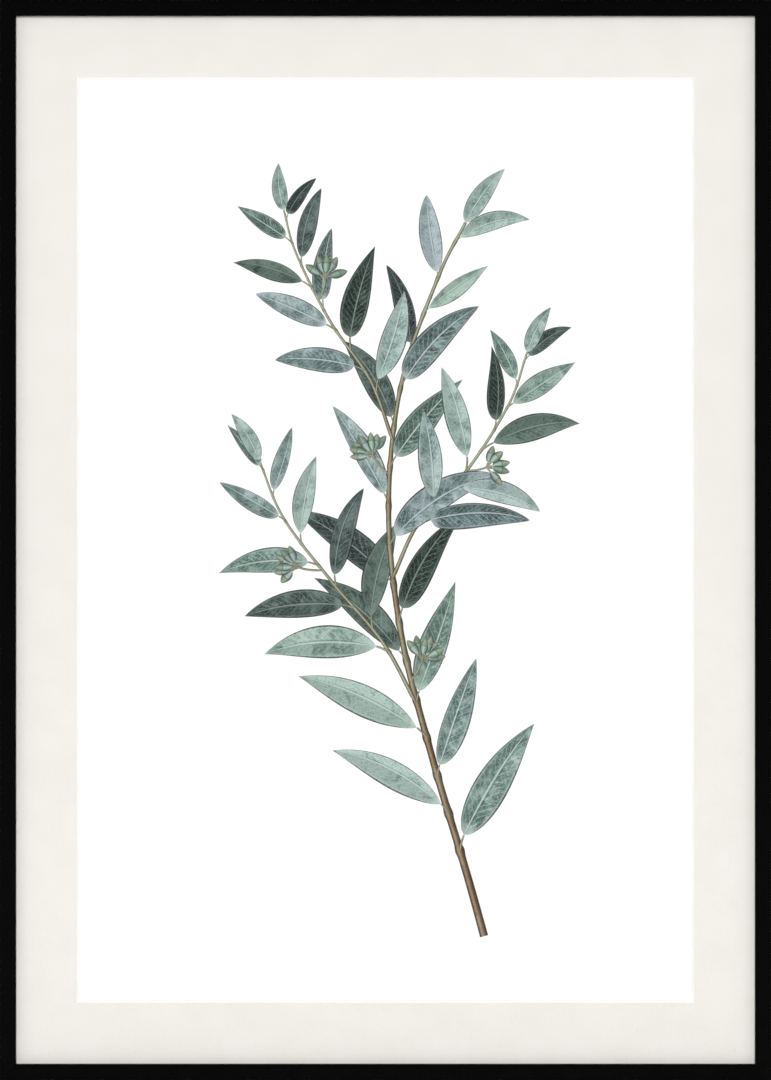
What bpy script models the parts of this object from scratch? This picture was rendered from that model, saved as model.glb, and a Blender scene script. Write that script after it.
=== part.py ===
"""A framed print, 500 x 700 mm outside: a slim black wooden frame with mitred corners, acrylic
glazing, a cream window mat, the print sheet, a hardboard back held by bendable steel tabs, and
sawtooth hangers for upright and for sideways hanging.

Metres, +Z up. The picture faces -Y and the wall is on the +Y side. The origin is the middle notch
of the upright hanger, where the nail carries the frame.
"""

import math

import bmesh
import bpy
from mathutils import Matrix, Vector

MM = 0.001

# Driving dimensions
FRAME_WIDTH = 500 * MM
FRAME_HEIGHT = 700 * MM
FRAME_DEPTH = 22 * MM
FACE_WIDTH = 10.7 * MM
LIP_WIDTH = 5 * MM
LIP_THICKNESS = 4 * MM
ARRIS_RADIUS = 0.8 * MM
GAP = 0.3 * MM
SHEET_CLEARANCE = 0.5 * MM

GLAZING_THICKNESS = 2 * MM
MAT_THICKNESS = 1.5 * MM
PRINT_THICKNESS = 0.4 * MM
BACK_THICKNESS = 3 * MM
WINDOW_WIDTH = 400 * MM
WINDOW_HEIGHT = 600 * MM

TAB_WIDTH = 9 * MM
TAB_LENGTH = 16 * MM
TAB_THICKNESS = 0.5 * MM
TAB_SEAT = 3.6 * MM
TABS_ON_SHORT_RAIL = (-150 * MM, 0, 150 * MM)
TABS_ON_LONG_RAIL = (-270 * MM, -100 * MM, 100 * MM, 270 * MM)

NAIL_THICKNESS = 0.6 * MM
NAIL_WING = 4 * MM
NAIL_HEIGHT = 7 * MM

HANGER_LENGTH = 46 * MM
HANGER_HEIGHT = 9 * MM
HANGER_THICKNESS = 1 * MM
HANGER_RISE = 2.2 * MM
HANGER_FOOT = 10.5 * MM
HANGER_RAMP = 3 * MM
HANGER_NOTCHES = 5
NOTCH_PITCH = 3.2 * MM
NOTCH_WIDTH = 2.8 * MM
NOTCH_DEPTH = 1.6 * MM
NOTCH_BELOW_FRAME_TOP = 42 * MM
NOTCH_INSIDE_FRAME_SIDE = 42 * MM

RIVET_RADIUS = 1.5 * MM
RIVET_HEAD_RADIUS = 3.2 * MM
RIVET_HEAD_HEIGHT = 1.2 * MM
RIVET_FLANGE_RADIUS = 3 * MM
RIVET_FLANGE_THICKNESS = 0.6 * MM
RIVET_FLANGE_SUNK = 0.2 * MM

PAST = 1 * MM  # how far a cutter runs past the face that it cuts
ROUND_STEPS = 24
ARC_STEPS = 4
DOME_STEPS = 5

# Depths behind the frame's front face
WALL_THICKNESS = FACE_WIDTH - LIP_WIDTH
GLAZING_DEPTH = LIP_THICKNESS + GAP
MAT_DEPTH = GLAZING_DEPTH + GLAZING_THICKNESS + GAP
PRINT_DEPTH = MAT_DEPTH + MAT_THICKNESS + GAP
BACK_DEPTH = PRINT_DEPTH + PRINT_THICKNESS + GAP
BACK_REAR = BACK_DEPTH + BACK_THICKNESS
TAB_DEPTH = BACK_REAR + GAP
HANGER_DEPTH = BACK_REAR + GAP
NOTCH_DEPTH_BEHIND_FRONT = HANGER_DEPTH + HANGER_RISE + HANGER_THICKNESS / 2

SHEET_WIDTH = FRAME_WIDTH - 2 * (WALL_THICKNESS + SHEET_CLEARANCE)
SHEET_HEIGHT = FRAME_HEIGHT - 2 * (WALL_THICKNESS + SHEET_CLEARANCE)

# Where the frame's front face and its middle lie, seen from the hanging notch
FRONT_Y = -NOTCH_DEPTH_BEHIND_FRONT
CENTRE_Z = NOTCH_BELOW_FRAME_TOP - FRAME_HEIGHT / 2
CENTRE = Vector((0, FRONT_Y, CENTRE_Z))

STANDING = math.radians(90)  # turns a flat outline's +Y up to +Z, so that it faces -Y
FACING_WALL = math.radians(-90)  # turns a turned piece's +Z axis to +Y


def clear_scene():
    for obj in list(bpy.data.objects):
        bpy.data.objects.remove(obj, do_unlink=True)


def new_collection(name):
    collection = bpy.data.collections.new(name)
    bpy.context.scene.collection.children.link(collection)
    return collection


def new_material(name, colour, roughness, metallic=0.0, alpha=1.0):
    material = bpy.data.materials.new(name)
    material.use_nodes = True
    shader = material.node_tree.nodes["Principled BSDF"]
    shader.inputs["Base Color"].default_value = (*colour, 1)
    shader.inputs["Roughness"].default_value = roughness
    shader.inputs["Metallic"].default_value = metallic
    shader.inputs["Alpha"].default_value = alpha
    return material


def new_object(name, mesh, collection, material=None, location=(0, 0, 0), rotation=(0, 0, 0)):
    obj = bpy.data.objects.new(name, mesh)
    collection.objects.link(obj)
    obj.location = location
    obj.rotation_euler = rotation
    if material:
        mesh.materials.append(material)
    return obj


def put_under(parent, obj):
    """Parents obj while it keeps its place in the world."""
    obj.parent = parent
    obj.matrix_parent_inverse = Matrix.Translation(parent.location).inverted()


def cutter_object(name, mesh, location=(0, 0, 0), rotation=(0, 0, 0)):
    obj = new_object(name, mesh, cutters, None, location, rotation)
    obj.hide_render = True
    obj.display_type = "WIRE"
    return obj


def combine(obj, other, operation="DIFFERENCE"):
    modifier = obj.modifiers.new(operation.title(), "BOOLEAN")
    modifier.operation = operation
    modifier.solver = "EXACT"
    modifier.object = other


def behind_front(depth):
    """World Y of a plane this far behind the frame's front face."""
    return FRONT_Y + depth


def outline_mesh(name, outlines, thickness):
    """A plate cut to flat outlines in the XY plane, centred on it. Outlines after the first are holes."""
    curve = bpy.data.curves.new(name, "CURVE")
    curve.dimensions = "2D"
    curve.fill_mode = "BOTH"
    curve.extrude = thickness / 2
    for outline in outlines:
        spline = curve.splines.new("POLY")
        spline.points.add(len(outline) - 1)
        for point, (x, y) in zip(spline.points, outline):
            point.co = (x, y, 0, 1)
        spline.use_cyclic_u = True
    drawn = bpy.data.objects.new(name, curve)
    bpy.context.scene.collection.objects.link(drawn)
    bpy.context.view_layer.update()
    graph = bpy.context.evaluated_depsgraph_get()
    mesh = bpy.data.meshes.new_from_object(drawn.evaluated_get(graph))
    bpy.data.objects.remove(drawn, do_unlink=True)
    mesh.name = name
    shape = bmesh.new()
    shape.from_mesh(mesh)
    bmesh.ops.remove_doubles(shape, verts=shape.verts, dist=0.001 * MM)
    bmesh.ops.recalc_face_normals(shape, faces=shape.faces)
    shape.to_mesh(mesh)
    shape.free()
    return mesh


def arc(centre, radius, start, end, steps=ARC_STEPS):
    """Points round a centre from one angle to another, in degrees."""
    angles = [math.radians(start + (end - start) * i / steps) for i in range(steps + 1)]
    return [(centre[0] + radius * math.cos(a), centre[1] + radius * math.sin(a)) for a in angles]


def circle(centre, radius):
    return arc(centre, radius, 0, 360, ROUND_STEPS)[:-1]


def box_mesh(name, size):
    mesh = bpy.data.meshes.new(name)
    shape = bmesh.new()
    bmesh.ops.create_cube(shape, size=1, matrix=Matrix.Diagonal((*size, 1)))
    shape.to_mesh(mesh)
    shape.free()
    return mesh


def turned_object(name, profile, collection, material, location):
    """A piece turned round its own Z axis, then laid with that axis towards the wall."""
    mesh = bpy.data.meshes.new(name)
    points = [(radius, 0, along) for radius, along in profile]
    mesh.from_pydata(points, [(i, i + 1) for i in range(len(points) - 1)], [])
    obj = new_object(name, mesh, collection, material, location, (FACING_WALL, 0, 0))
    screw = obj.modifiers.new("Turn", "SCREW")
    screw.steps = screw.render_steps = ROUND_STEPS
    screw.use_merge_vertices = True
    screw.merge_threshold = 0.01 * MM
    return obj


def rail_profile():
    """The rail's section, as depth behind the front face and distance in from the outer edge."""
    r = ARRIS_RADIUS
    return [
        *arc((r, r), r, 270, 180),
        *arc((r, FACE_WIDTH - r), r, 180, 90),
        (LIP_THICKNESS, FACE_WIDTH),
        (LIP_THICKNESS, WALL_THICKNESS),
        (FRAME_DEPTH, WALL_THICKNESS),
        (FRAME_DEPTH, 0),
    ]


def nail_outline(grow=0.0):
    """The V-nail's section in a corner, as distances in from the two outer edges."""
    near = (WALL_THICKNESS - NAIL_THICKNESS) / 2 - grow
    inner = near + NAIL_THICKNESS + 2 * grow
    tip = near + NAIL_WING + 2 * grow
    return [(near, near), (tip, near), (tip, inner), (inner, inner), (inner, tip), (near, tip)]


def mitred_rail_mesh(name, length):
    """A rail along X with its outer edge on Z = 0, its inner edge above, its front on Y = 0."""
    mesh = outline_mesh(name, [rail_profile()], length)
    shape = bmesh.new()
    shape.from_mesh(mesh)
    along_x = Matrix(((0, 0, 1, 0), (1, 0, 0, 0), (0, 1, 0, 0), (0, 0, 0, 1)))
    bmesh.ops.transform(shape, matrix=along_x, verts=shape.verts)
    for end in (-1, 1):
        outward = Vector((end, 0, 1)).normalized()
        corner = Vector((end * length / 2, 0, 0)) - outward * GAP / 2
        geometry = [*shape.verts, *shape.edges, *shape.faces]
        cut = bmesh.ops.bisect_plane(
            shape, geom=geometry, plane_co=corner, plane_no=outward, clear_outer=True
        )
        rim = [part for part in cut["geom_cut"] if isinstance(part, bmesh.types.BMEdge)]
        bmesh.ops.contextual_create(shape, geom=rim)
    bmesh.ops.recalc_face_normals(shape, faces=shape.faces)
    shape.to_mesh(mesh)
    shape.free()
    mesh.shade_smooth()
    mesh.set_sharp_from_angle(angle=math.radians(30))
    return mesh


def rail_slots_mesh(name, length, tab_places):
    """What is cut out of one rail: a slot for each tab, and a V-nail slot at each end."""
    shape = bmesh.new()
    slot_floor = WALL_THICKNESS - TAB_SEAT - GAP
    slot_size = (TAB_WIDTH + 2 * GAP, TAB_THICKNESS + 2 * GAP, TAB_SEAT + GAP + PAST)
    for place in tab_places:
        slot_centre = (place, TAB_DEPTH + TAB_THICKNESS / 2, slot_floor + slot_size[2] / 2)
        matrix = Matrix.Translation(slot_centre) @ Matrix.Diagonal((*slot_size, 1))
        bmesh.ops.create_cube(shape, size=1, matrix=matrix)
    cut_height = NAIL_HEIGHT + 2 * GAP + PAST
    section = outline_mesh(name + "_nail", [nail_outline(GAP)], cut_height)
    middle_y = FRAME_DEPTH + PAST - cut_height / 2
    for end in (-1, 1):
        nail_slot = section.copy()
        to_corner = Matrix.Translation((end * length / 2, middle_y, 0))
        inwards = Matrix.Diagonal((-end, 1, 1, 1))
        nail_slot.transform(to_corner @ inwards @ Matrix.Rotation(STANDING, 4, "X"))
        if end == 1:
            nail_slot.flip_normals()
        shape.from_mesh(nail_slot)
        bpy.data.meshes.remove(nail_slot)
    bpy.data.meshes.remove(section)
    mesh = bpy.data.meshes.new(name)
    shape.to_mesh(mesh)
    shape.free()
    return mesh


def make_rail(name, length, half_span, turn, tab_places):
    """One rail. turn carries the bottom rail round the frame to the place of this one."""
    angle = math.radians(turn)
    location = CENTRE + Matrix.Rotation(angle, 3, "Y") @ Vector((0, 0, -half_span))
    place = (location, (0, angle, 0))
    rail = new_object(name, mitred_rail_mesh(name, length), framed_print, black_wood, *place)
    slots = cutter_object(
        name + "_slots", rail_slots_mesh(name + "_slots", length, tab_places), *place
    )
    combine(rail, slots)


def make_tabs(rail_name, half_span, turn, tab_places):
    """The bendable tabs in one rail: strips with a round tip that lie on the backing board."""
    angle = math.radians(turn)
    root = WALL_THICKNESS - TAB_SEAT
    half = TAB_WIDTH / 2
    tip_centre = root + TAB_LENGTH - half
    outline = [(-half, root), (half, root), *arc((0, tip_centre), half, 0, 180, 2 * ARC_STEPS)]
    for number, place in enumerate(tab_places, 1):
        name = f"tab_{rail_name}_{number}"
        mesh = outline_mesh(name, [outline], TAB_THICKNESS)
        in_rail = Vector((place, TAB_DEPTH + TAB_THICKNESS / 2, -half_span))
        location = CENTRE + Matrix.Rotation(angle, 3, "Y") @ in_rail
        new_object(name, mesh, framed_print, tab_steel, location, (STANDING, angle, 0))


def make_v_nail(name, side, end):
    """The V-nail of one corner: side is -1 at the left, end is -1 at the bottom."""
    outline = [(-side * p, -end * q) for p, q in nail_outline()]
    mesh = outline_mesh(name, [outline], NAIL_HEIGHT)
    rear = FRAME_DEPTH - GAP
    corner = Vector((side * FRAME_WIDTH / 2, rear - NAIL_HEIGHT / 2, end * FRAME_HEIGHT / 2))
    new_object(name, mesh, framed_print, tab_steel, CENTRE + corner, (STANDING, 0, 0))


def make_sheet(name, depth, thickness, material):
    """One flat sheet of the stack, cut to lie in the rabbet."""
    mesh = box_mesh(name, (SHEET_WIDTH, thickness, SHEET_HEIGHT))
    location = CENTRE + Vector((0, depth + thickness / 2, 0))
    return new_object(name, mesh, framed_print, material, location)


def cut_window(mat):
    """Cuts the mat's window: full size at the front, a 45 degree bevel narrowing it to the back."""
    mesh = box_mesh("window_cutter", (WINDOW_WIDTH, MAT_THICKNESS + 2 * PAST, WINDOW_HEIGHT))
    for vertex in mesh.vertices:
        away = MAT_THICKNESS / 2 + vertex.co.y
        vertex.co.x -= math.copysign(away, vertex.co.x)
        vertex.co.z -= math.copysign(away, vertex.co.z)
    combine(mat, cutter_object("window_cutter", mesh, mat.location))


def hanger_plan(hole_places):
    """The hanger seen from behind: round ends, notches in its lower edge, a hole in each foot.

    The middle notch's top is at the origin.
    """
    low = -NOTCH_DEPTH
    half_height = HANGER_HEIGHT / 2
    middle_height = low + half_height
    end_centre = HANGER_LENGTH / 2 - half_height
    steps = 2 * ARC_STEPS
    outline = arc((end_centre, middle_height), half_height, -90, 90, steps)
    outline += arc((-end_centre, middle_height), half_height, 90, 270, steps)
    for number in range(HANGER_NOTCHES):
        x = (number - (HANGER_NOTCHES - 1) / 2) * NOTCH_PITCH
        outline += [(x - NOTCH_WIDTH / 2, low), (x, 0), (x + NOTCH_WIDTH / 2, low)]
    holes = [circle((x, middle_height), RIVET_RADIUS + GAP) for x in hole_places]
    return [outline, *holes]


def hanger_bend():
    """The hanger seen from above: feet on the board, the middle raised for the nail's head."""
    half = HANGER_LENGTH / 2
    foot = half - HANGER_FOOT
    crest = foot - HANGER_RAMP
    shape = [(half, 0), (foot, 0), (crest, HANGER_RISE), (-crest, HANGER_RISE), (-foot, 0), (-half, 0)]
    rear = [(x, y + HANGER_THICKNESS) for x, y in reversed(shape)]
    return shape + rear


def make_hanger(name, notch, turn):
    """A sawtooth hanger with its middle notch at a point, and its two rivets and their holes."""
    angle = math.radians(turn)
    spin = Matrix.Rotation(angle, 3, "Y")
    hole_x = HANGER_LENGTH / 2 - HANGER_HEIGHT / 2
    holes = (-hole_x, hole_x)
    plan_mesh = outline_mesh(name + "_plan", hanger_plan(holes), 4 * HANGER_RISE)
    plan = cutter_object(name + "_plan", plan_mesh, notch, (STANDING, angle, 0))
    mesh = outline_mesh(name, [hanger_bend()], 2 * HANGER_HEIGHT)
    mesh.transform(Matrix.Translation((0, HANGER_DEPTH - NOTCH_DEPTH_BEHIND_FRONT, 0)))
    hanger = new_object(name, mesh, framed_print, plated_steel, notch, (0, angle, 0))
    combine(hanger, plan, "INTERSECT")
    for side, x in zip(("a", "b"), holes):
        seat = notch + spin @ Vector((x, 0, HANGER_HEIGHT / 2 - NOTCH_DEPTH))
        seat.y = behind_front(BACK_DEPTH)
        make_rivet(f"{name}_rivet_{side}", seat)


def rivet_profile(grow=0.0):
    """The rivet from its domed head to its flange, as radius and height over the board's inner face."""
    seat = BACK_THICKNESS + GAP + HANGER_THICKNESS + GAP
    top = seat + RIVET_HEAD_HEIGHT
    flange_low = RIVET_FLANGE_SUNK
    flange_top = flange_low + RIVET_FLANGE_THICKNESS
    if grow:
        board_top = BACK_THICKNESS + PAST
        shank = RIVET_RADIUS + grow
        flange = RIVET_FLANGE_RADIUS + grow
        return [
            (0, board_top),
            (shank, board_top),
            (shank, flange_top + grow),
            (flange, flange_top + grow),
            (flange, -PAST),
            (0, -PAST),
        ]
    dome = [
        (RIVET_HEAD_RADIUS * math.sin(a), seat + RIVET_HEAD_HEIGHT * math.cos(a))
        for a in (math.radians(90 * i / DOME_STEPS) for i in range(1, DOME_STEPS))
    ]
    return [
        (0, top),
        *dome,
        (RIVET_HEAD_RADIUS, seat),
        (RIVET_RADIUS, seat),
        (RIVET_RADIUS, flange_top),
        (RIVET_FLANGE_RADIUS, flange_top),
        (RIVET_FLANGE_RADIUS, flange_low),
        (0, flange_low),
    ]


def make_rivet(name, seat):
    turned_object(name, rivet_profile(), framed_print, plated_steel, seat)
    hole = turned_object(name + "_hole", rivet_profile(GAP), cutters, None, seat)
    hole.hide_render = True
    hole.display_type = "WIRE"
    combine(backing_board, hole)


clear_scene()
framed_print = new_collection("framed_print")
cutters = new_collection("cutters")

black_wood = new_material("black_lacquered_wood", (0.006, 0.006, 0.006), 0.4)
clear_acrylic = new_material("clear_acrylic", (1, 1, 1), 0.05, 0, 0.15)
cream_board = new_material("cream_mat_board", (0.87, 0.84, 0.79), 0.9)
print_paper = new_material("print_paper", (0.95, 0.95, 0.94), 0.8)
hardboard = new_material("hardboard", (0.23, 0.13, 0.06), 0.8)
tab_steel = new_material("tab_steel", (0.45, 0.45, 0.46), 0.4, 0.9)
plated_steel = new_material("plated_steel", (0.62, 0.62, 0.6), 0.3, 1)

frame_middle = bpy.data.objects.new("frame_middle", None)
frame_middle.location = CENTRE
frame_middle.empty_display_size = 50 * MM
framed_print.objects.link(frame_middle)

# name, length, distance of its outer edge from the middle, turn, places of its tabs
rails = (
    ("bottom", FRAME_WIDTH, FRAME_HEIGHT / 2, 0, TABS_ON_SHORT_RAIL),
    ("left", FRAME_HEIGHT, FRAME_WIDTH / 2, 90, TABS_ON_LONG_RAIL),
    ("top", FRAME_WIDTH, FRAME_HEIGHT / 2, 180, TABS_ON_SHORT_RAIL),
    ("right", FRAME_HEIGHT, FRAME_WIDTH / 2, -90, TABS_ON_LONG_RAIL),
)
for rail_name, rail_length, outer_edge, rail_turn, places in rails:
    make_rail("frame_rail_" + rail_name, rail_length, outer_edge, rail_turn, places)
    make_tabs(rail_name, outer_edge, rail_turn, places)

for height_name, up in (("bottom", -1), ("top", 1)):
    for side_name, across in (("left", -1), ("right", 1)):
        make_v_nail(f"v_nail_{height_name}_{side_name}", across, up)

make_sheet("glazing", GLAZING_DEPTH, GLAZING_THICKNESS, clear_acrylic)
window_mat = make_sheet("window_mat", MAT_DEPTH, MAT_THICKNESS, cream_board)
cut_window(window_mat)
make_sheet("print_sheet", PRINT_DEPTH, PRINT_THICKNESS, print_paper)
backing_board = make_sheet("backing_board", BACK_DEPTH, BACK_THICKNESS, hardboard)

make_hanger("hanger_upright", Vector((0, 0, 0)), 0)
side_notch = Vector((FRAME_WIDTH / 2 - NOTCH_INSIDE_FRAME_SIDE, 0, CENTRE_Z))
make_hanger("hanger_sideways", side_notch, 90)

for part in (*framed_print.objects, *cutters.objects):
    if part != frame_middle:
        put_under(frame_middle, part)
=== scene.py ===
"""The looks of a framed print: black lacquered frame, clear acrylic, cream window mat with a white
core, art paper printed with a spray of long gum leaves, and hardboard, tabs and hangers behind.

Metres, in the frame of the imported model: +Z up, the picture faces -Y, the wall is on +Y. The print
is drawn in millimetres from the middle of the sheet.
"""

import math
import random
from collections import namedtuple

import bmesh
import bpy
import numpy as np
from mathutils import Matrix, Vector
from mathutils.geometry import interpolate_bezier


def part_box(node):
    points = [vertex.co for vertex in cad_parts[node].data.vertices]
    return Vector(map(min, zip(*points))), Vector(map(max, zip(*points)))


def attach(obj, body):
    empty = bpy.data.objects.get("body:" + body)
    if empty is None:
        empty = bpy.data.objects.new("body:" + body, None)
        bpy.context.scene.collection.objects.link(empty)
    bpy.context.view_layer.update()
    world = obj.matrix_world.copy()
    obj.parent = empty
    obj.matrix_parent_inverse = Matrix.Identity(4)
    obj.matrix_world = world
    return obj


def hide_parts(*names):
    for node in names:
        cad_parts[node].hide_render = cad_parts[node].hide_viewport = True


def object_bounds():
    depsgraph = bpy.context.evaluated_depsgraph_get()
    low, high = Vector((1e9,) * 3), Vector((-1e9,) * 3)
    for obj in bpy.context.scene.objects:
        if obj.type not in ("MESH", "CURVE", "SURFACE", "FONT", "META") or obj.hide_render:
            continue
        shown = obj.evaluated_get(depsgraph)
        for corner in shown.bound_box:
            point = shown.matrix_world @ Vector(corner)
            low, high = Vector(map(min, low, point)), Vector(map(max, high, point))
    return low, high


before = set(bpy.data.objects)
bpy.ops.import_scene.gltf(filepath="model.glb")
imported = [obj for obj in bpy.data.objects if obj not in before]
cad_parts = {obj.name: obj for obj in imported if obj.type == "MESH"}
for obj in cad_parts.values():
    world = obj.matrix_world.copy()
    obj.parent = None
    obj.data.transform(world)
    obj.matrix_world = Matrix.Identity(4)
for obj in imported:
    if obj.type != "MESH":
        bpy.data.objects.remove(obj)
cad_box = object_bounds()

MM = 0.001

# The frame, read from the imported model
LOW, HIGH = (Vector(corner) for corner in cad_box)
SHEET_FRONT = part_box("print_sheet")[0][1]
MAT_LOW, MAT_HIGH = (Vector(corner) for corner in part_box("window_mat"))
FACE_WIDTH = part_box("frame_rail_left")[1][0] - LOW.x
FRAME_WIDTH, FRAME_DEPTH, FRAME_HEIGHT = HIGH - LOW
MIDDLE = (LOW + HIGH) / 2

# The frame's section and the mat's window
WALL_THICKNESS = 5.7 * MM
LIP_THICKNESS = 4 * MM
ARRIS_RADIUS = 0.8 * MM
REAR_ARRIS = 0.3 * MM
MITRE_GAP = 0.06 * MM
WINDOW_WIDTH = 400 * MM
SLOT_ROOM = 0.12 * MM
NAIL_THICKNESS = 0.6 * MM
METAL_EDGE = 0.12 * MM
DOUBLES_APART = 0.002 * MM

# How shapes are read and smoothed: the share of a normal that lies along an axis where a face counts
# as square to it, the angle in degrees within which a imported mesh's triangles are one flat face, and
# the angles up to which edges are shaded smooth
SQUARE_TO = 0.9
FLAT_WITHIN = 2
RAIL_SMOOTHING = 35
METAL_SMOOTHING = 40

# The print's ink, in mm: its thickness, how far one layer stands over the next, which is too little
# to see, and the steps in which crossings are looked for. A mark is looked at in a few places at
# least, and its grid has these rows across and columns along it.
INK_THICKNESS = 0.012
LAYER_STEP = 0.014
CROSSING_STEP = 1.2
FEWEST_PLACES = 4
MARK_ROWS = 4
MARK_COLUMNS = {"twig": 260, "leaf": 40, "back_leaf": 40, "stalk": 20, "bud": 14}

# The twigs of the spray: knots in mm right of and above the sheet's middle
MAIN_TWIG = [(64, -257), (52, -214), (30, -140), (10, -60), (2, 20), (10, 100), (34, 170), (52, 206)]
LOW_LEFT_TWIG = [(20, -106), (-2, -66), (-34, -28), (-66, 14), (-82, 52)]
RIGHT_TWIG = [(4, -26), (22, 12), (52, 44), (80, 88), (92, 122)]
HIGH_LEFT_TWIG = [(5, 64), (-10, 104), (-36, 142), (-58, 186), (-66, 214)]
# Each twig's width at its foot and tip, where its leaves begin and end along it, how many there are,
# their length and width at its foot, and the side opposite the first one. Side 1 is left of the way
# that the twig heads, and -1 is right.
TWIGS = (
    (MAIN_TWIG, (5.4, 2.0), (0.12, 0.97), 17, (87, 25), 1),
    (LOW_LEFT_TWIG, (2.8, 1.3), (0.2, 0.96), 9, (70, 21), -1),
    (RIGHT_TWIG, (2.7, 1.3), (0.22, 0.96), 9, (66, 20.5), 1),
    (HIGH_LEFT_TWIG, (2.5, 1.2), (0.2, 0.96), 9, (62, 19.5), 1),
)
# Each bud cluster's twig, counted from 0, its place along it and its side
BUD_CLUSTERS = ((0, 0.36, -1), (0, 0.64, 1), (1, 0.56, 1), (2, 0.5, -1), (3, 0.62, -1))
SPRAY_SEED = 11
LEAVES_BEHIND = 0.42  # the share of the leaves that lie behind the twigs

# How many points a path is drawn through, from one knot to the next or from end to end, and the
# steps in which places along a twig are found
KNOT_POINTS = 12
LEAF_POINTS = 25
STALK_POINTS = 9
BUD_POINTS = 9
BUD_STALK_POINTS = 5
TWIG_STEPS = 200

# How twigs and stalks grow
JOINT_REACH = 0.006  # how far a joint swells the twig, as a share of the twig's length
JOINT_SWELLING = 0.28  # how much wider the twig is there
SIDE_TWIG_ROUNDING = 0.03  # the share of its length in which its foot rounds off
STALK_ROUNDING = 0.2
BROWN_WIDTH = 5.2  # in mm: a twig as wide as this is quite brown at its foot
BROWN_LOST = 0.8  # how much of the brown is gone at its tip
BEND_LAG = 1.3  # over 1, stalks and leaves bend more towards their end

# How leaves grow. Lengths and widths are in mm and angles in degrees.
LEAF_OPENING = (34, 58)  # from the twig, at its foot
OPENING_LOST = 18  # how much less it is at the twig's tip
LEAF_SIZE = (0.86, 1.1)  # beside its twig's own length and width of leaf
SIZE_LOST = 0.5  # how much smaller it is at the twig's tip
LEAF_STALK_OPENING = 0.6  # the share of the leaf's opening at which its stalk starts
LEAF_STALK_LENGTH = (7, 11)
LEAF_STALK_WIDTHS = (1.6, 1.2)
LEAF_STALK_BEND = 14
BLADE_BEND = (-4, 38)  # back towards the twig's own side
BLADE_SWAY = (-8, 8)
LEAF_BELLY = (0.32, 0.45)  # where along it a leaf is widest
LEAF_POINT = (0.8, 1.15)  # how slender its point is
NARROW_HALF = (0.55, 1)  # the narrower half of a blade beside the other
LAST_LEAF_BEND = 22
LAST_LEAF_LOOKS = {"tone": 0.7, "warmth": 0.6}
LEAF_STALK_TONE = 0.25

# How buds grow, on a stalk each at the end of a stem that they share
BUD_STEM_OPENING = 52
BUD_STEM_LENGTH = (13, 17)
BUD_STEM_WIDTHS = (1.5, 1.3)
BUD_STEM_BEND = 24
BUD_STEM_TONE = 0.2
BUDS_IN_CLUSTER = (5, 6, 7)
CLUSTER_OPENING = 36
CLUSTER_SPREAD = 150
BUD_LEAN = (-7, 7)
BUD_STALK_LENGTH = (3, 4.5)
BUD_STALK_WIDTHS = (1.0, 1.2)
BUD_STALK_BEND = (-12, 12)
BUD_LENGTH = (10.5, 12.5)
BUD_WIDTH = (5.2, 6.2)
BUD_BEND = (-14, 14)
BUD_BELLY = 0.85  # under 1, a bud is widest nearer its foot
BUD_FULLNESS = 0.7  # under 1, its sides are fuller than a plain arch

# The art paper's tooth, which the inks share
PAPER_TOOTH = 0.9 * MM
PAPER_RELIEF = 0.03 * MM

# Camera
LENS = 200
SENSOR = 36
VIEW_DEPTH = 200
PHOTO_WIDTH, PHOTO_HEIGHT = 771, 1080
CROP = 0.5 * MM  # the picture's edge runs just inside the frame's rounded arris

# Studio: name, heading, strength and width in degrees of the lights that are far off, and name,
# place, size in metres and watts of the softboxes. The key light comes from behind the camera, a
# little above it, so that the print is lit evenly and the lip's shade on the mat is short.
FAR_LIGHTS = (("front_key", (0, 1, -0.12), 1.74, 12), ("ceiling_light", (0, 0.02, -1), 1.2, 40))
SOFTBOXES = (
    ("left_softbox", (-2.8, -2.6, 1.6), 1.6, 12),
    ("right_softbox", (2.8, -2.6, 1.4), 1.6, 12),
    ("rear_left_softbox", (-2.0, 3.2, 2.2), 2, 50),
    ("rear_right_softbox", (2.0, 3.2, 2.0), 2, 38),
)
ROOM_LIGHT = 0.2
FLOOR_SIZE = 60

# One stroke of the print: its kind, which says its ink, its path, its half width along the path as
# a function, what its ink reads at each point, and how wide it is left and right of the path
Mark = namedtuple("Mark", "kind path half_width looks sides", defaults=[(1, 1)])


def colour(code):
    """An sRGB hex value as a linear colour."""
    channels = [int(code[i : i + 2], 16) / 255 for i in (1, 3, 5)]
    linear = [c / 12.92 if c <= 0.04045 else ((c + 0.055) / 1.055) ** 2.4 for c in channels]
    return (*linear, 1)


def put(tree, kind, inputs, out=0, ramp=(), **settings):
    """Adds a node with its settings and links, and gives the output asked for.

    An input is a value, or the output that feeds it. A ramp is places and hex colours.
    """
    node = tree.nodes.new("ShaderNode" + kind)
    for name, value in settings.items():
        setattr(node, name, value)
    for name, value in inputs.items():
        if isinstance(value, bpy.types.NodeSocket):
            tree.links.new(value, node.inputs[name])
        else:
            node.inputs[name].default_value = value
    if ramp:
        stops = node.color_ramp.elements
        while len(stops) < len(ramp):
            stops.new(0.5)
        for stop, (place, code) in zip(stops, ramp):
            stop.position = place
            stop.color = colour(code)
    return node.outputs[out] if node.outputs else None


def new_material(name):
    """A material with nothing in its node tree yet."""
    material = bpy.data.materials.new(name)
    material.use_nodes = True
    material.node_tree.nodes.clear()
    return material, material.node_tree


def lay_over(tree, ground, coats):
    """Tints laid over a ground colour, one after the other.

    A coat is the pattern that it follows, the pattern's values where it begins and where it is at
    its fullest, its share there, and its colour.
    """
    for pattern, begins, fullest, share, code in coats:
        cover = put(
            tree,
            "MapRange",
            {"Value": pattern, "From Min": begins, "From Max": fullest, "To Min": 0, "To Max": share},
            interpolation_type="SMOOTHSTEP",
        )
        ground = put(tree, "Mix", {0: cover, 6: ground, 7: colour(code)}, 2, data_type="RGBA")
    return ground


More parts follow.
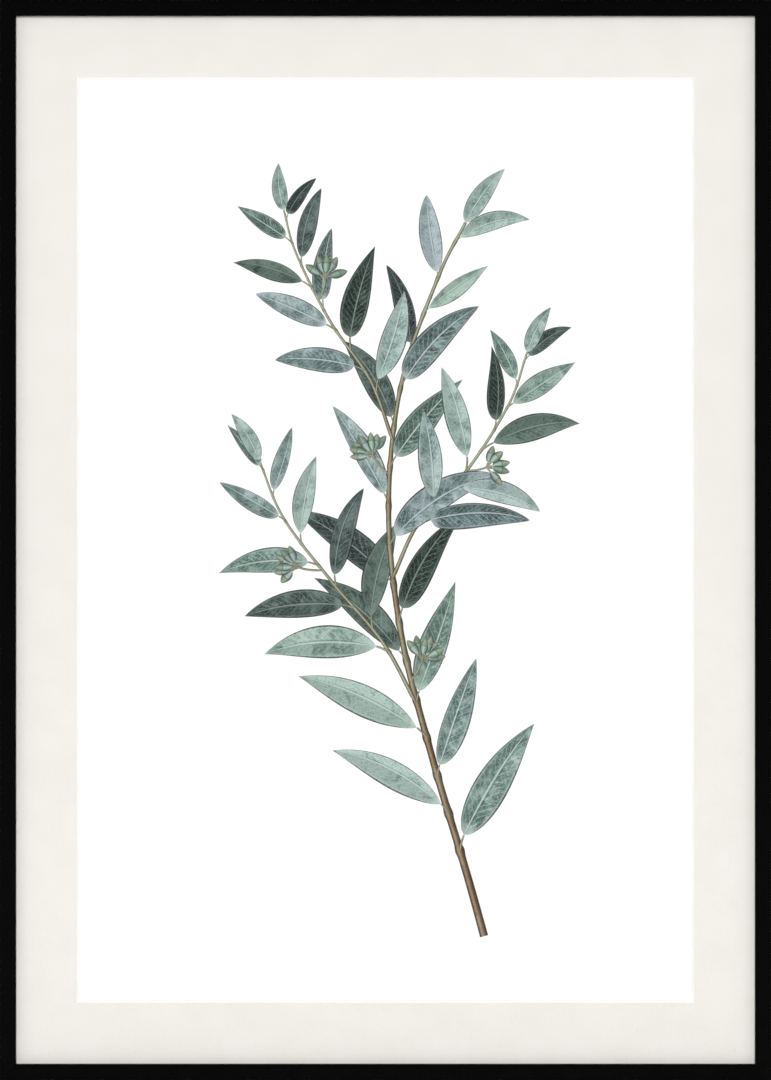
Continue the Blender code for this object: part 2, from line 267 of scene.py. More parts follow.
def matte_surface(tree, ground, pattern, relief, roughness):
    """Ends a matte material: the pattern stands out by its relief, and its hollows are duller."""
    span = {"Value": pattern, "From Min": 0.35, "From Max": 0.65}
    dullness = put(tree, "MapRange", {**span, "To Min": roughness + 0.04, "To Max": roughness - 0.04})
    normal = put(tree, "Bump", {"Height": pattern, "Distance": relief, "Strength": 0.5})
    looks = {"Base Color": ground, "Roughness": dullness, "Normal": normal, "Specular IOR Level": 0.2}
    put(tree, "OutputMaterial", {0: put(tree, "BsdfPrincipled", looks)})


def paper_tooth(tree, place):
    """The art paper's tooth, which shows through the ink. It is 0.3 mm across, drawn 0.9 mm."""
    return put(
        tree, "TexNoise", {"Vector": place, "Scale": 1 / PAPER_TOOTH, "Detail": 6, "Roughness": 0.7}
    )


def satin_black_lacquer(name, grain_run):
    """Satin lacquer sprayed on planed beech: nearly pure black, with the grain just in its sheen.

    grain_run draws the pattern out along the grain. Beech's pores are 0.1 mm wide and are drawn
    0.4 mm wide, so that they show. The spray's dimples are 1.6 mm apart, as on the real thing.
    """
    pore, dimple, relief = 0.4 * MM, 1.6 * MM, 0.02 * MM
    material, tree = new_material(name)
    place = put(tree, "TexCoord", {}, "Object")
    along = put(tree, "Mapping", {"Vector": place, "Scale": grain_run})
    grain = put(tree, "TexNoise", {"Vector": along, "Scale": 1 / pore, "Detail": 5})
    dimples = put(tree, "TexNoise", {"Vector": place, "Scale": 1 / dimple, "Detail": 2})
    black = put(tree, "ValToRGB", {0: grain}, ramp=[(0.3, "#010101"), (0.7, "#030303")])
    span = {"Value": grain, "From Min": 0.3, "From Max": 0.7, "To Min": 0.38, "To Max": 0.46}
    sheen = put(tree, "MapRange", span)
    height = put(tree, "Math", {0: grain, 1: dimples}, operation="ADD")
    normal = put(tree, "Bump", {"Height": height, "Distance": relief, "Strength": 0.5})
    looks = {"Base Color": black, "Roughness": sheen, "Normal": normal, "Specular IOR Level": 0.07}
    put(tree, "OutputMaterial", {0: put(tree, "BsdfPrincipled", looks)})
    return material


def cast_clear_acrylic():
    """Cast acrylic with a low-reflection coat: the picture shows through it, with a faint even gloss
    that grows only where it is seen from the side."""
    head_on, side_on, sharpness = 0.01, 0.8, 5
    material, tree = new_material("cast_clear_acrylic")
    through = put(tree, "BsdfTransparent", {"Color": colour("#ffffff")})
    gloss = put(tree, "BsdfGlossy", {"Color": colour("#ffffff"), "Roughness": 0.04})
    # Facing grows from 0 head on to 1 sideways, alike on both faces of the pane
    facing = put(tree, "LayerWeight", {"Blend": 0.5}, "Facing")
    sideways = put(tree, "Math", {0: facing, 1: sharpness}, operation="POWER")
    share = put(tree, "Math", {0: sideways, 1: side_on, 2: head_on}, operation="MULTIPLY_ADD")
    put(tree, "OutputMaterial", {0: put(tree, "MixShader", {0: share, 1: through, 2: gloss})})
    return material


def cream_facing_paper():
    """The cream paper that faces the mat board: matte, softly clouded, with a felt-marked tooth.

    Its fibres are 0.03 mm thick and 1 to 2 mm long, and are drawn 1.4 mm broad, as the felt marks
    that they leave. Clouds in such paper are 20 to 30 mm across.
    """
    felt_mark, cloud, relief = 1.4 * MM, 22 * MM, 0.05 * MM
    material, tree = new_material("cream_facing_paper")
    place = put(tree, "TexCoord", {}, "Object")
    upright = put(tree, "Mapping", {"Vector": place, "Scale": (1, 1, 0.45)})
    tooth = put(
        tree,
        "TexNoise",
        {"Vector": upright, "Scale": 1 / felt_mark, "Detail": 6, "Roughness": 0.7, "Distortion": 1.2},
    )
    clouds = put(tree, "TexNoise", {"Vector": place, "Scale": 1 / cloud, "Detail": 3})
    coats = ((tooth, 0.52, 0.68, 0.25, "#dad6cc"), (clouds, 0.3, 0.7, 0.12, "#dad6cc"))
    matte_surface(tree, lay_over(tree, colour("#ebe9e4"), coats), tooth, relief, 0.9)
    return material


def bleached_board_core():
    """The mat board's bleached core, bared by the bevel cutter: a white line round the window, with
    the plies just showing as lines along it.

    Four plies lie 0.35 mm apart through the board's 1.5 mm.
    """
    ply, fibre, relief = 0.35 * MM, 0.5 * MM, 0.03 * MM
    material, tree = new_material("bleached_board_core")
    place = put(tree, "TexCoord", {}, "Object")
    through = put(tree, "Mapping", {"Vector": place, "Scale": (0.02, 1, 0.02)})
    plies = put(tree, "TexNoise", {"Vector": through, "Scale": 1 / ply, "Detail": 2})
    pulp = put(tree, "TexNoise", {"Vector": place, "Scale": 1 / fibre, "Detail": 4})
    coats = ((plies, 0.5, 0.7, 0.3, "#e6e3dc"), (pulp, 0.5, 0.7, 0.25, "#e6e3dc"))
    matte_surface(tree, lay_over(tree, colour("#fbfbf9"), coats), pulp, relief, 0.92)
    return material


def uncoated_art_paper():
    """Heavy uncoated art paper, bleached: a clean flat white with a fine, even tooth."""
    material, tree = new_material("uncoated_art_paper")
    tooth = paper_tooth(tree, put(tree, "TexCoord", {}, "Object"))
    white = lay_over(tree, colour("#fdfdfc"), ((tooth, 0.52, 0.68, 0.2, "#efeeea"),))
    matte_surface(tree, white, tooth, PAPER_RELIEF, 0.88)
    return material


def pressed_hardboard():
    """Wood fibre pressed against a polished plate: even mid brown under a thin dull sheen, matted
    with short dark and pale fibres.

    The fibres are 0.1 mm thick and 2 to 4 mm long, and are drawn about 0.3 mm thick. Each is a line
    where a noise crosses its middle value.
    """
    cloud, bundle, fibre, relief = 60 * MM, 5 * MM, 3.2 * MM, 0.04 * MM
    material, tree = new_material("pressed_hardboard")
    place = put(tree, "TexCoord", {}, "Object")
    clouds = put(tree, "TexNoise", {"Vector": place, "Scale": 1 / cloud, "Detail": 4})
    bundles = put(tree, "TexNoise", {"Vector": place, "Scale": 1 / bundle, "Detail": 8, "Roughness": 0.8})
    ground = put(tree, "ValToRGB", {0: bundles}, ramp=[(0.3, "#583c26"), (0.7, "#775338")])
    coats = [(clouds, 0.3, 0.7, 0.45, "#543a25")]
    for turn, share, code in ((0, 0.5, "#35220f"), (1, 0.3, "#99744f"), (2, 0.4, "#432c18")):
        own_place = {"Vector": place, "Rotation": (0, turn, 0), "Location": (turn, 0, 0)}
        turned = put(tree, "Mapping", own_place)
        threads = put(
            tree,
            "TexNoise",
            {"Vector": turned, "Scale": 1 / fibre, "Detail": 3, "Roughness": 0.7, "Distortion": 0.5},
        )
        off_line = put(tree, "Math", {0: threads, 1: 0.5}, operation="SUBTRACT")
        distance = put(tree, "Math", {0: off_line}, operation="ABSOLUTE")
        coats.append((distance, 0.014, 0.004, share, code))
    brown = lay_over(tree, ground, coats)
    span = {"Value": bundles, "From Min": 0.3, "From Max": 0.7, "To Min": 0.5, "To Max": 0.65}
    sheen = put(tree, "MapRange", span)
    normal = put(tree, "Bump", {"Height": bundles, "Distance": relief, "Strength": 0.5})
    looks = {"Base Color": brown, "Roughness": sheen, "Normal": normal, "Specular IOR Level": 0.35}
    put(tree, "OutputMaterial", {0: put(tree, "BsdfPrincipled", looks)})
    return material


def zinc_plate(name, bright, dull, roughness):
    """Steel strip, stamped and then zinc plated: grey metal with cloudy patches and rolling lines.

    The patches are about 3 mm across. The rolling lines are 0.05 mm apart and are drawn 0.3 mm apart.
    """
    patch, line, relief = 3 * MM, 0.3 * MM, 0.01 * MM
    material, tree = new_material(name)
    place = put(tree, "TexCoord", {}, "Object")
    rolled = put(tree, "Mapping", {"Vector": place, "Scale": (0.08, 1, 1)})
    lines = put(tree, "TexNoise", {"Vector": rolled, "Scale": 1 / line, "Detail": 3})
    patches = put(tree, "TexNoise", {"Vector": place, "Scale": 1 / patch, "Detail": 5})
    skin = put(tree, "ValToRGB", {0: patches}, ramp=[(0.32, dull), (0.68, bright)])
    span = {"Value": patches, "From Min": 0.3, "From Max": 0.7}
    sheen = put(tree, "MapRange", {**span, "To Min": roughness + 0.1, "To Max": roughness - 0.06})
    normal = put(tree, "Bump", {"Height": lines, "Distance": relief, "Strength": 0.4})
    looks = {"Base Color": skin, "Roughness": sheen, "Normal": normal, "Metallic": 1}
    put(tree, "OutputMaterial", {0: put(tree, "BsdfPrincipled", looks)})
    return material


def own_cast(tree, ink):
    """A leaf's or bud's ink, turned by its own warmth from a grey violet to a fresh green."""
    warmth = put(tree, "Attribute", {}, "Fac", attribute_name="warmth")
    casts = [(0, "#e9ebf3"), (0.5, "#f4fbf9"), (1, "#e6f3e8")]
    cast = put(tree, "ValToRGB", {0: warmth}, ramp=casts)
    return put(tree, "Mix", {0: 1, 6: ink, 7: cast}, 2, data_type="RGBA", blend_type="MULTIPLY")


def sprayed_leaf_ink(name, pale, body, deep, vein, rim):
    """Pigment ink, sprayed by an art printer: a leaf in flat matte colour, mottled under a chalky
    bloom, with pale ribs and a thin dark outline.

    U runs along the leaf and V across it. Its own tone and warmth are attributes. On the paper the
    wash varies over 9 mm, the bloom over 2.4 mm and the speckle over 1 mm.
    """
    wash_size, bloom_size, speckle_size, wander_size = 9 * MM, 2.4 * MM, 1 * MM, 7 * MM
    rib_pairs = 15
    material, tree = new_material(name)
    place = put(tree, "TexCoord", {}, "Object")
    wash = put(
        tree, "TexNoise", {"Vector": place, "Scale": 1 / wash_size, "Detail": 6, "Distortion": 0.8}
    )
    bloom = put(
        tree,
        "TexNoise",
        {"Vector": place, "Scale": 1 / bloom_size, "Detail": 8, "Roughness": 0.75, "Distortion": 1},
    )
    speckle = put(
        tree, "TexNoise", {"Vector": place, "Scale": 1 / speckle_size, "Detail": 4, "Roughness": 0.7}
    )
    wander = put(tree, "TexNoise", {"Vector": place, "Scale": 1 / wander_size, "Detail": 2})
    tone = put(tree, "Attribute", {}, "Fac", attribute_name="tone")
    along = put(tree, "SeparateXYZ", {0: put(tree, "UVMap", {})}, "X")
    side_to_side = along.node.outputs["Y"]
    across = put(tree, "Math", {0: side_to_side, 1: 2, 2: -1}, operation="MULTIPLY_ADD")
    off_rib = put(tree, "Math", {0: across}, operation="ABSOLUTE")

    washed = put(tree, "Math", {0: tone, 1: 0.5, 2: wash}, operation="MULTIPLY_ADD")
    ground = put(tree, "ValToRGB", {0: washed}, ramp=[(0.53, deep), (0.74, body), (0.97, pale)])
    chalk = put(tree, "Math", {0: tone, 1: 0.5, 2: 0.38}, operation="MULTIPLY_ADD")
    # The side ribs run out and forward from the midrib, and fade before the edge
    steps = put(tree, "Math", {0: along, 1: rib_pairs, 2: wander}, operation="MULTIPLY_ADD")
    slanted = put(tree, "Math", {0: off_rib, 1: -2.4, 2: steps}, operation="MULTIPLY_ADD")
    off_side_rib = put(tree, "Math", {0: slanted, 1: 0.5}, operation="PINGPONG")
    fading = {"Value": off_rib, "From Min": 0.95, "From Max": 0.5, "To Min": 0, "To Max": 0.42}
    side_rib = put(tree, "MapRange", fading)
    beside = put(tree, "Math", {0: across, 1: 0.1}, operation="ADD")
    off_shadow = put(tree, "Math", {0: beside}, operation="ABSOLUTE")
    frayed = put(tree, "Math", {0: speckle, 1: 0.16, 2: off_rib}, operation="MULTIPLY_ADD")
    coats = (
        (bloom, 0.5, 0.64, chalk, pale),  # the chalky bloom
        (speckle, 0.53, 0.66, 0.6, deep),  # dark specks
        (speckle, 0.46, 0.34, 0.45, vein),  # pale specks
        (off_side_rib, 0.13, 0.02, side_rib, vein),  # the side ribs
        (off_shadow, 0.09, 0.02, 0.4, deep),  # the shaded side of the midrib
        (off_rib, 0.075, 0.03, 0.8, vein),  # the midrib
        (across, -0.04, 0.06, 0.3, deep),  # the darker half of the blade
        (frayed, 0.84, 0.97, 0.35, vein),  # the pale margin
        (frayed, 0.95, 1.04, 0.9, rim),  # the outline
        (along, 0.12, 0, 0.5, vein),  # the pale foot
    )
    ink = own_cast(tree, lay_over(tree, ground, coats))
    matte_surface(tree, ink, paper_tooth(tree, place), PAPER_RELIEF, 0.8)
    return material


def sprayed_twig_ink():
    """The same ink as a twig: lit along one side and dark along the other, bark brown at the foot
    and green towards the tip.

    V runs across the twig. Its browning is the attribute tone. The bark's grain is 2.4 mm long on
    the paper, and green and brown change over about 16 mm.
    """
    grain_size, patch_size = 2.4 * MM, 16 * MM
    material, tree = new_material("sprayed_ink_bark")
    place = put(tree, "TexCoord", {}, "Object")
    tone = put(tree, "Attribute", {}, "Fac", attribute_name="tone")
    side_to_side = put(tree, "SeparateXYZ", {0: put(tree, "UVMap", {})}, "Y")
    grain = put(
        tree, "TexNoise", {"Vector": place, "Scale": 1 / grain_size, "Detail": 6, "Roughness": 0.7}
    )
    patches = put(tree, "TexNoise", {"Vector": place, "Scale": 1 / patch_size, "Detail": 3})
    side = put(tree, "Math", {0: grain, 1: 0.24, 2: side_to_side}, operation="MULTIPLY_ADD")
    stops = (0.18, 0.46, 0.72, 0.92, 1)
    green_codes = ("#484c42", "#878d77", "#bfc4a9", "#949a85", "#575b50")
    brown_codes = ("#32281e", "#594938", "#a48563", "#78624b", "#403428")
    green = put(tree, "ValToRGB", {0: side}, ramp=list(zip(stops, green_codes)))
    brown = put(tree, "ValToRGB", {0: side}, ramp=list(zip(stops, brown_codes)))
    shift = {"Value": patches, "From Min": 0.35, "From Max": 0.65, "To Min": -0.2, "To Max": 0.2}
    browned = put(tree, "Math", {0: tone, 1: put(tree, "MapRange", shift)}, operation="ADD")
    bark = put(tree, "Mix", {0: browned, 6: green, 7: brown}, 2, data_type="RGBA")
    ink = lay_over(tree, bark, ((grain, 0.56, 0.66, 0.4, "#3b352c"),))
    matte_surface(tree, ink, paper_tooth(tree, place), PAPER_RELIEF, 0.8)
    return material


def sprayed_bud_ink():
    """The same ink as a gum bud: a pale cup and a pointed cap, shaded round, with a thin dark seam.

    U runs from the foot to the cap's point and V across. Its own tone and warmth are attributes.
    The mottling is 1.4 mm on the paper.
    """
    mottle_size, seam_place = 1.4 * MM, 0.56
    material, tree = new_material("sprayed_ink_bud")
    place = put(tree, "TexCoord", {}, "Object")
    tone = put(tree, "Attribute", {}, "Fac", attribute_name="tone")
    along = put(tree, "SeparateXYZ", {0: put(tree, "UVMap", {})}, "X")
    side_to_side = along.node.outputs["Y"]
    mottle = put(
        tree, "TexNoise", {"Vector": place, "Scale": 1 / mottle_size, "Detail": 5, "Roughness": 0.7}
    )
    side = put(tree, "Math", {0: mottle, 1: 0.2, 2: side_to_side}, operation="MULTIPLY_ADD")
    stops = (0.14, 0.34, 0.68, 0.88, 1)
    codes = ("#38463f", "#788c82", "#bfccc2", "#8fa297", "#414f48")
    shaded = put(tree, "ValToRGB", {0: side}, ramp=list(zip(stops, codes)))
    from_seam = put(tree, "Math", {0: along, 1: seam_place}, operation="SUBTRACT")
    off_seam = put(tree, "Math", {0: from_seam}, operation="ABSOLUTE")
    coats = (
        (along, 0.52, 0.62, 0.5, "#868a6e"),  # the browner cap
        (off_seam, 0.05, 0, 0.7, "#46524a"),  # the seam
        (mottle, 0.56, 0.68, 0.35, "#eef1e8"),  # pale specks
        (tone, 0.7, 0, 0.4, "#566b60"),  # a bud of a low tone is darker all over
    )
    ink = own_cast(tree, lay_over(tree, shaded, coats))
    matte_surface(tree, ink, paper_tooth(tree, place), PAPER_RELIEF, 0.8)
    return material


def rolled_backdrop_board():
    """Rolled backdrop board under the frame: pale, matte and even. The softest mottle keeps it from
    reading as a flat colour."""
    mottle_size = 0.4
    material, tree = new_material("rolled_backdrop_board")
    place = put(tree, "TexCoord", {}, "Object")
    mottle = put(tree, "TexNoise", {"Vector": place, "Scale": 1 / mottle_size, "Detail": 3})
    pale = lay_over(tree, colour("#efeeeb"), ((mottle, 0.3, 0.7, 0.3, "#ebeae6"),))
    looks = {"Base Color": pale, "Roughness": 0.9, "Specular IOR Level": 0.3}
    put(tree, "OutputMaterial", {0: put(tree, "BsdfPrincipled", looks)})
    return material


def only(obj):
    """Makes obj the one thing selected."""
    bpy.ops.object.select_all(action="DESELECT")
    obj.select_set(True)
    bpy.context.view_layer.objects.active = obj


def select_where(obj, kind, test):
    """In edit mode, selects just the faces or edges that pass a test."""
    shape = bmesh.from_edit_mesh(obj.data)
    bpy.ops.mesh.select_all(action="DESELECT")
    parts = shape.faces if kind == "FACE" else shape.edges
    bpy.ops.mesh.select_mode(type=kind)
    for part in parts:
        part.select_set(test(part))
    bmesh.update_edit_mesh(obj.data)


def copy_of(obj):
    """A copy with its own mesh."""
    piece = obj.copy()
    piece.data = obj.data.copy()
    bpy.context.scene.collection.objects.link(piece)
    return piece


def apply_modifier(obj, kind, **settings):
    """Adds a modifier with its settings, and makes its result the mesh."""
    only(obj)
    modifier = obj.modifiers.new(kind.title(), kind)
    for name, value in settings.items():
        setattr(modifier, name, value)
    bpy.ops.object.modifier_apply(modifier=modifier.name)


def close_up(obj):
    """Merges a shape's doubled corners, and drops the slivers between them."""
    only(obj)
    bpy.ops.object.mode_set(mode="EDIT")
    bpy.ops.mesh.select_all(action="SELECT")
    bpy.ops.mesh.remove_doubles(threshold=DOUBLES_APART)
    bpy.ops.mesh.dissolve_degenerate(threshold=DOUBLES_APART)
    bpy.ops.object.mode_set(mode="OBJECT")


def finish_piece(obj, name, material, slot, *nodes):
    """Names a piece, gives it its material and places it in the model."""
    obj.name = name
    obj.data.name = name
    obj.data.materials.clear()
    obj.data.materials.append(material)
    if nodes:
        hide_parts(*nodes)
    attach(obj, "root")
    return obj


def box_piece(low, high):
    """A box between two corners, as a new primitive with its place in its mesh."""
    low, high = Vector(low), Vector(high)
    bpy.ops.object.select_all(action="DESELECT")
    bpy.ops.mesh.primitive_cube_add(size=1, location=(low + high) / 2, scale=high - low)
    bpy.ops.object.transform_apply()
    return bpy.context.object


def model_rail(length):
    """The bottom rail: along X, outer edge at Z = 0, front at Y = 0, with its lip and mitres."""
    half = length / 2
    rail = box_piece((-half, 0, 0), (half, FRAME_DEPTH, WALL_THICKNESS))

    def lip_root(face):
        return face.normal.z > SQUARE_TO and face.calc_center_median().y < LIP_THICKNESS

    def runs_along(edge):
        return abs(edge.verts[0].co.x - edge.verts[1].co.x) > half

    def front_arris(edge):
        return runs_along(edge) and edge.verts[0].co.y < MM

    def rear_arris(edge):
        return runs_along(edge) and edge.verts[0].co.y > FRAME_DEPTH - MM

    bpy.ops.object.mode_set(mode="EDIT")
    bpy.ops.mesh.select_all(action="SELECT")
    bpy.ops.mesh.bisect(plane_co=(0, LIP_THICKNESS, 0), plane_no=(0, 1, 0))
    select_where(rail, "FACE", lip_root)
    lip_width = FACE_WIDTH - WALL_THICKNESS
    bpy.ops.mesh.extrude_region_move(TRANSFORM_OT_translate={"value": (0, 0, lip_width)})
    select_where(rail, "EDGE", front_arris)
    bpy.ops.mesh.bevel(offset=ARRIS_RADIUS, segments=5)
    select_where(rail, "EDGE", rear_arris)
    bpy.ops.mesh.bevel(offset=REAR_ARRIS, segments=2)
    for end in (-1, 1):
        outward = Vector((end, 0, 1)).normalized()
        corner = Vector((end * half, 0, 0)) - outward * MITRE_GAP / 2
        bpy.ops.mesh.select_all(action="SELECT")
        bpy.ops.mesh.bisect(plane_co=corner, plane_no=outward, use_fill=True, clear_outer=True)
    bpy.ops.object.mode_set(mode="OBJECT")
    return rail


def nail_wings(name, low, high):
    """The boxes of a V-nail's two wings, which meet towards the frame's corner."""
    upright_x = low.x if name.endswith("left") else high.x - NAIL_THICKNESS
    level_z = low.z if "bottom" in name else high.z - NAIL_THICKNESS
    upright = (Vector((upright_x, low.y, low.z)), Vector((upright_x + NAIL_THICKNESS, high.y, high.z)))
    level = (Vector((low.x, low.y, level_z)), Vector((high.x, high.y, level_z + NAIL_THICKNESS)))
    return [upright, level]


def cut_slots(rail, names):
    """Cuts the slots that the tabs and V-nails sit in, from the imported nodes' own boxes."""
    room = Vector((SLOT_ROOM, SLOT_ROOM, SLOT_ROOM))
    for name in names:
        low, high = (Vector(corner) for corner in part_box(name))
        boxes = nail_wings(name, low, high) if name.startswith("v_nail") else [(low, high)]
        for corner_low, corner_high in boxes:
            cutter = box_piece(corner_low - room, corner_high + room)
            apply_modifier(rail, "BOOLEAN", object=cutter, operation="DIFFERENCE", solver="EXACT")
            bpy.data.objects.remove(cutter, do_unlink=True)


def make_rails():
    """Four rails turned out of two blanks, slotted, each with its grain along it."""
    upright_grain = satin_black_lacquer("satin_black_lacquer_upright", (1, 1, 0.03))
    level_grain = satin_black_lacquer("satin_black_lacquer_level", (0.03, 1, 1))
    sides = (
        ("bottom", FRAME_WIDTH, FRAME_HEIGHT, 0, level_grain),
        ("top", FRAME_WIDTH, FRAME_HEIGHT, 180, level_grain),
        ("left", FRAME_HEIGHT, FRAME_WIDTH, 90, upright_grain),
        ("right", FRAME_HEIGHT, FRAME_WIDTH, -90, upright_grain),
    )
    blanks = {length: model_rail(length) for length in (FRAME_WIDTH, FRAME_HEIGHT)}
    to_middle = Matrix.Translation((MIDDLE.x, LOW.y, MIDDLE.z))
    for side, length, span, turn, material in sides:
        rail = copy_of(blanks[length])
        spin = Matrix.Rotation(math.radians(turn), 4, "Y")
        rail.data.transform(to_middle @ spin @ Matrix.Translation((0, 0, -span / 2)))
        held = [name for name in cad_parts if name.startswith(f"tab_{side}")]
        held += [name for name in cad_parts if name.startswith("v_nail") and side in name]
        cut_slots(rail, held)
        close_up(rail)
        finish_piece(rail, f"rail_{side}", material, "black_wood", f"frame_rail_{side}")
        only(rail)
        bpy.ops.object.shade_smooth_by_angle(angle=math.radians(RAIL_SMOOTHING))
    for blank in blanks.values():
        bpy.data.objects.remove(blank, do_unlink=True)


def make_mat():
    """The mat: one sheet whose window is inset on both faces and bridged into a 45 degree bevel."""
    mat = box_piece(MAT_LOW, MAT_HIGH)
    bevel = MAT_HIGH.y - MAT_LOW.y
    margin = (MAT_HIGH.x - MAT_LOW.x - WINDOW_WIDTH) / 2
    bpy.ops.object.mode_set(mode="EDIT")
    for direction, inset in ((-1, margin), (1, margin + bevel)):
        select_where(mat, "FACE", lambda face, d=direction: face.normal.y * d > SQUARE_TO)
        bpy.ops.mesh.inset(thickness=inset)
        bpy.ops.mesh.delete(type="FACE")
    bpy.ops.mesh.select_mode(type="EDGE")
    bpy.ops.mesh.select_all(action="DESELECT")
    bpy.ops.mesh.select_non_manifold()
    bpy.ops.mesh.bridge_edge_loops()
    bpy.ops.mesh.select_all(action="SELECT")
    bpy.ops.mesh.normals_make_consistent(inside=False)
    bpy.ops.object.mode_set(mode="OBJECT")
    finish_piece(mat, "cream_window_mat", cream_facing_paper(), "cream_board", "window_mat")
    mat.data.materials.append(bleached_board_core())
    for face in mat.data.polygons:
        face.material_index = 0 if abs(face.normal.y) > SQUARE_TO else 1


def refine(node, material, slot):
    """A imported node's own shape with its edges eased, standing for it."""
    piece = copy_of(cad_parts[node])
    close_up(piece)
    apply_modifier(piece, "DECIMATE", decimate_type="DISSOLVE", angle_limit=math.radians(FLAT_WITHIN))
    apply_modifier(piece, "BEVEL", width=METAL_EDGE, segments=2, limit_method="ANGLE")
    bpy.ops.object.shade_smooth_by_angle(angle=math.radians(METAL_SMOOTHING))
    finish_piece(piece, node + "_piece", material, slot, node)


def make_metalwork():
    """The tabs and V-nails in dull zinc, the hangers and their rivets in bright zinc."""
    bright_zinc = zinc_plate("bright_zinc_plate", "#d3d0c4", "#a9a699", 0.3)
    dull_zinc = zinc_plate("dull_zinc_plate", "#b4b6b8", "#8a8d90", 0.42)
    for node in sorted(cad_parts):
        if node.startswith(("tab_", "v_nail")):
            refine(node, dull_zinc, "tab_steel")
        elif node.startswith("hanger"):
            refine(node, bright_zinc, "plated_steel")


def between(span, share):
    """The value at this share of the way from a span's first value to its last."""
    first, last = span
    return first + (last - first) * share


def path_through(knots):
    """Points on a smooth curve through knots in the picture plane.

    At each knot the curve runs as the line between the knots on its two sides does.
    """
    knots = [Vector((x, z, 0)) for x, z in knots]
    ahead = [knots[0] * 2 - knots[1], *knots, knots[-1] * 2 - knots[-2]]
    points = []
    for before, start, end, after in zip(ahead, ahead[1:], ahead[2:], ahead[3:]):
        first, second = start + (end - before) / 6, end - (after - start) / 6
        points += interpolate_bezier(start, first, second, end, KNOT_POINTS)[:-1]
    return np.array([(*p.xy,) for p in (*points, knots[-1])])


def evenly(points, count):
    """The path read at evenly spaced places: its points, and which way it heads at each."""
    lengths = np.concatenate([[0], np.cumsum(np.linalg.norm(np.diff(points, axis=0), axis=1))])
    wanted = np.linspace(0, lengths[-1], count)
    places = np.stack([np.interp(wanted, lengths, points[:, axis]) for axis in (0, 1)], axis=1)
    heading = np.gradient(places, axis=0)
    heading /= np.linalg.norm(heading, axis=1)[:, None]
    return places, heading


def curved_from(start, heading, length, bend, count):
    """A path of this length from a point, that turns by bend in all. Angles are in degrees."""
    angles = np.radians(heading + bend * np.linspace(0, 1, count) ** BEND_LAG)
    steps = np.stack([np.cos(angles), np.sin(angles)], axis=1) * length / (count - 1)
    return np.concatenate([[start], np.array(start) + np.cumsum(steps[:-1], axis=0)])


def along_twig(knots, t):
    """The place at t along a twig, and the angle that it heads at."""
    places, heading = evenly(path_through(knots), TWIG_STEPS + 1)
    index = round(t * TWIG_STEPS)
    return places[index], math.degrees(math.atan2(heading[index][1], heading[index][0]))


def lance(width, tone=0.5, warmth=0.5):
    """A long leaf's half width: round at its foot, widest at the belly, drawn out to a point.

    Where the belly lies and how slender the point is go with the leaf's tone and warmth, so that no
    two leaves are alike.
    """
    belly = between(LEAF_BELLY, tone)
    point = between(LEAF_POINT, warmth)
    foot = point * belly / (1 - belly)
    top = belly**foot * (1 - belly) ** point
    return lambda t: width / 2 * (t**foot * (1 - t) ** point) / top


def taper(start, end, joints=(), rounding=0.0):
    """A twig's half width, a little thicker at the joints where leaves grow.

    rounding is the share of its length in which its foot rounds off, where it grows out of another.
    """

    def half_width(t):
        swelling = sum(math.exp(-(((t - joint) / JOINT_REACH) ** 2)) for joint in joints)
        rounded = math.sqrt(t / rounding) if t < rounding else 1
        return between((start, end), t) / 2 * (1 + JOINT_SWELLING * swelling) * rounded

    return half_width


def stalk_width(start, end):
    """The half width of a leaf's or bud's stalk, whose foot is rounded."""
    return taper(start, end, rounding=STALK_ROUNDING)


def egg(width):
    """A bud's half width: blunt at its foot, pointed at its cap."""
    return lambda t: width / 2 * max(0, math.sin(math.pi * t**BUD_BELLY)) ** BUD_FULLNESS


def twig_tone(foot):
    """Brown at the foot of a thick twig, green towards its tip."""
    return lambda along: np.clip(foot / BROWN_WIDTH - along * BROWN_LOST, 0, 1)


def draw_leaf(rng, place, facing, side, t, length, width):
    """A leaf that grows from a twig on one side: its stalk and its blade."""
    opening = rng.uniform(*LEAF_OPENING) - OPENING_LOST * t
    size = (1 - SIZE_LOST * t**2) * rng.uniform(*LEAF_SIZE)
    stalk_length = rng.uniform(*LEAF_STALK_LENGTH) * size
    stalk_facing = facing + side * opening * LEAF_STALK_OPENING
    stalk = curved_from(place, stalk_facing, stalk_length, side * LEAF_STALK_BEND, STALK_POINTS)
    bend = side * rng.uniform(*BLADE_BEND) + rng.uniform(*BLADE_SWAY)
    blade = curved_from(stalk[-1], facing + side * opening, length * size, bend, LEAF_POINTS)
    narrow = rng.uniform(*NARROW_HALF)
    sides = (narrow, 1) if rng.random() < 0.5 else (1, narrow)
    looks = {"tone": rng.random(), "warmth": rng.random()}
    foot, tip = (stalk_end * size for stalk_end in LEAF_STALK_WIDTHS)
    return (
        Mark("stalk", stalk, stalk_width(foot, tip), {"tone": LEAF_STALK_TONE}),
        Mark("leaf", blade, lance(width * size, **looks), looks, sides),
    )


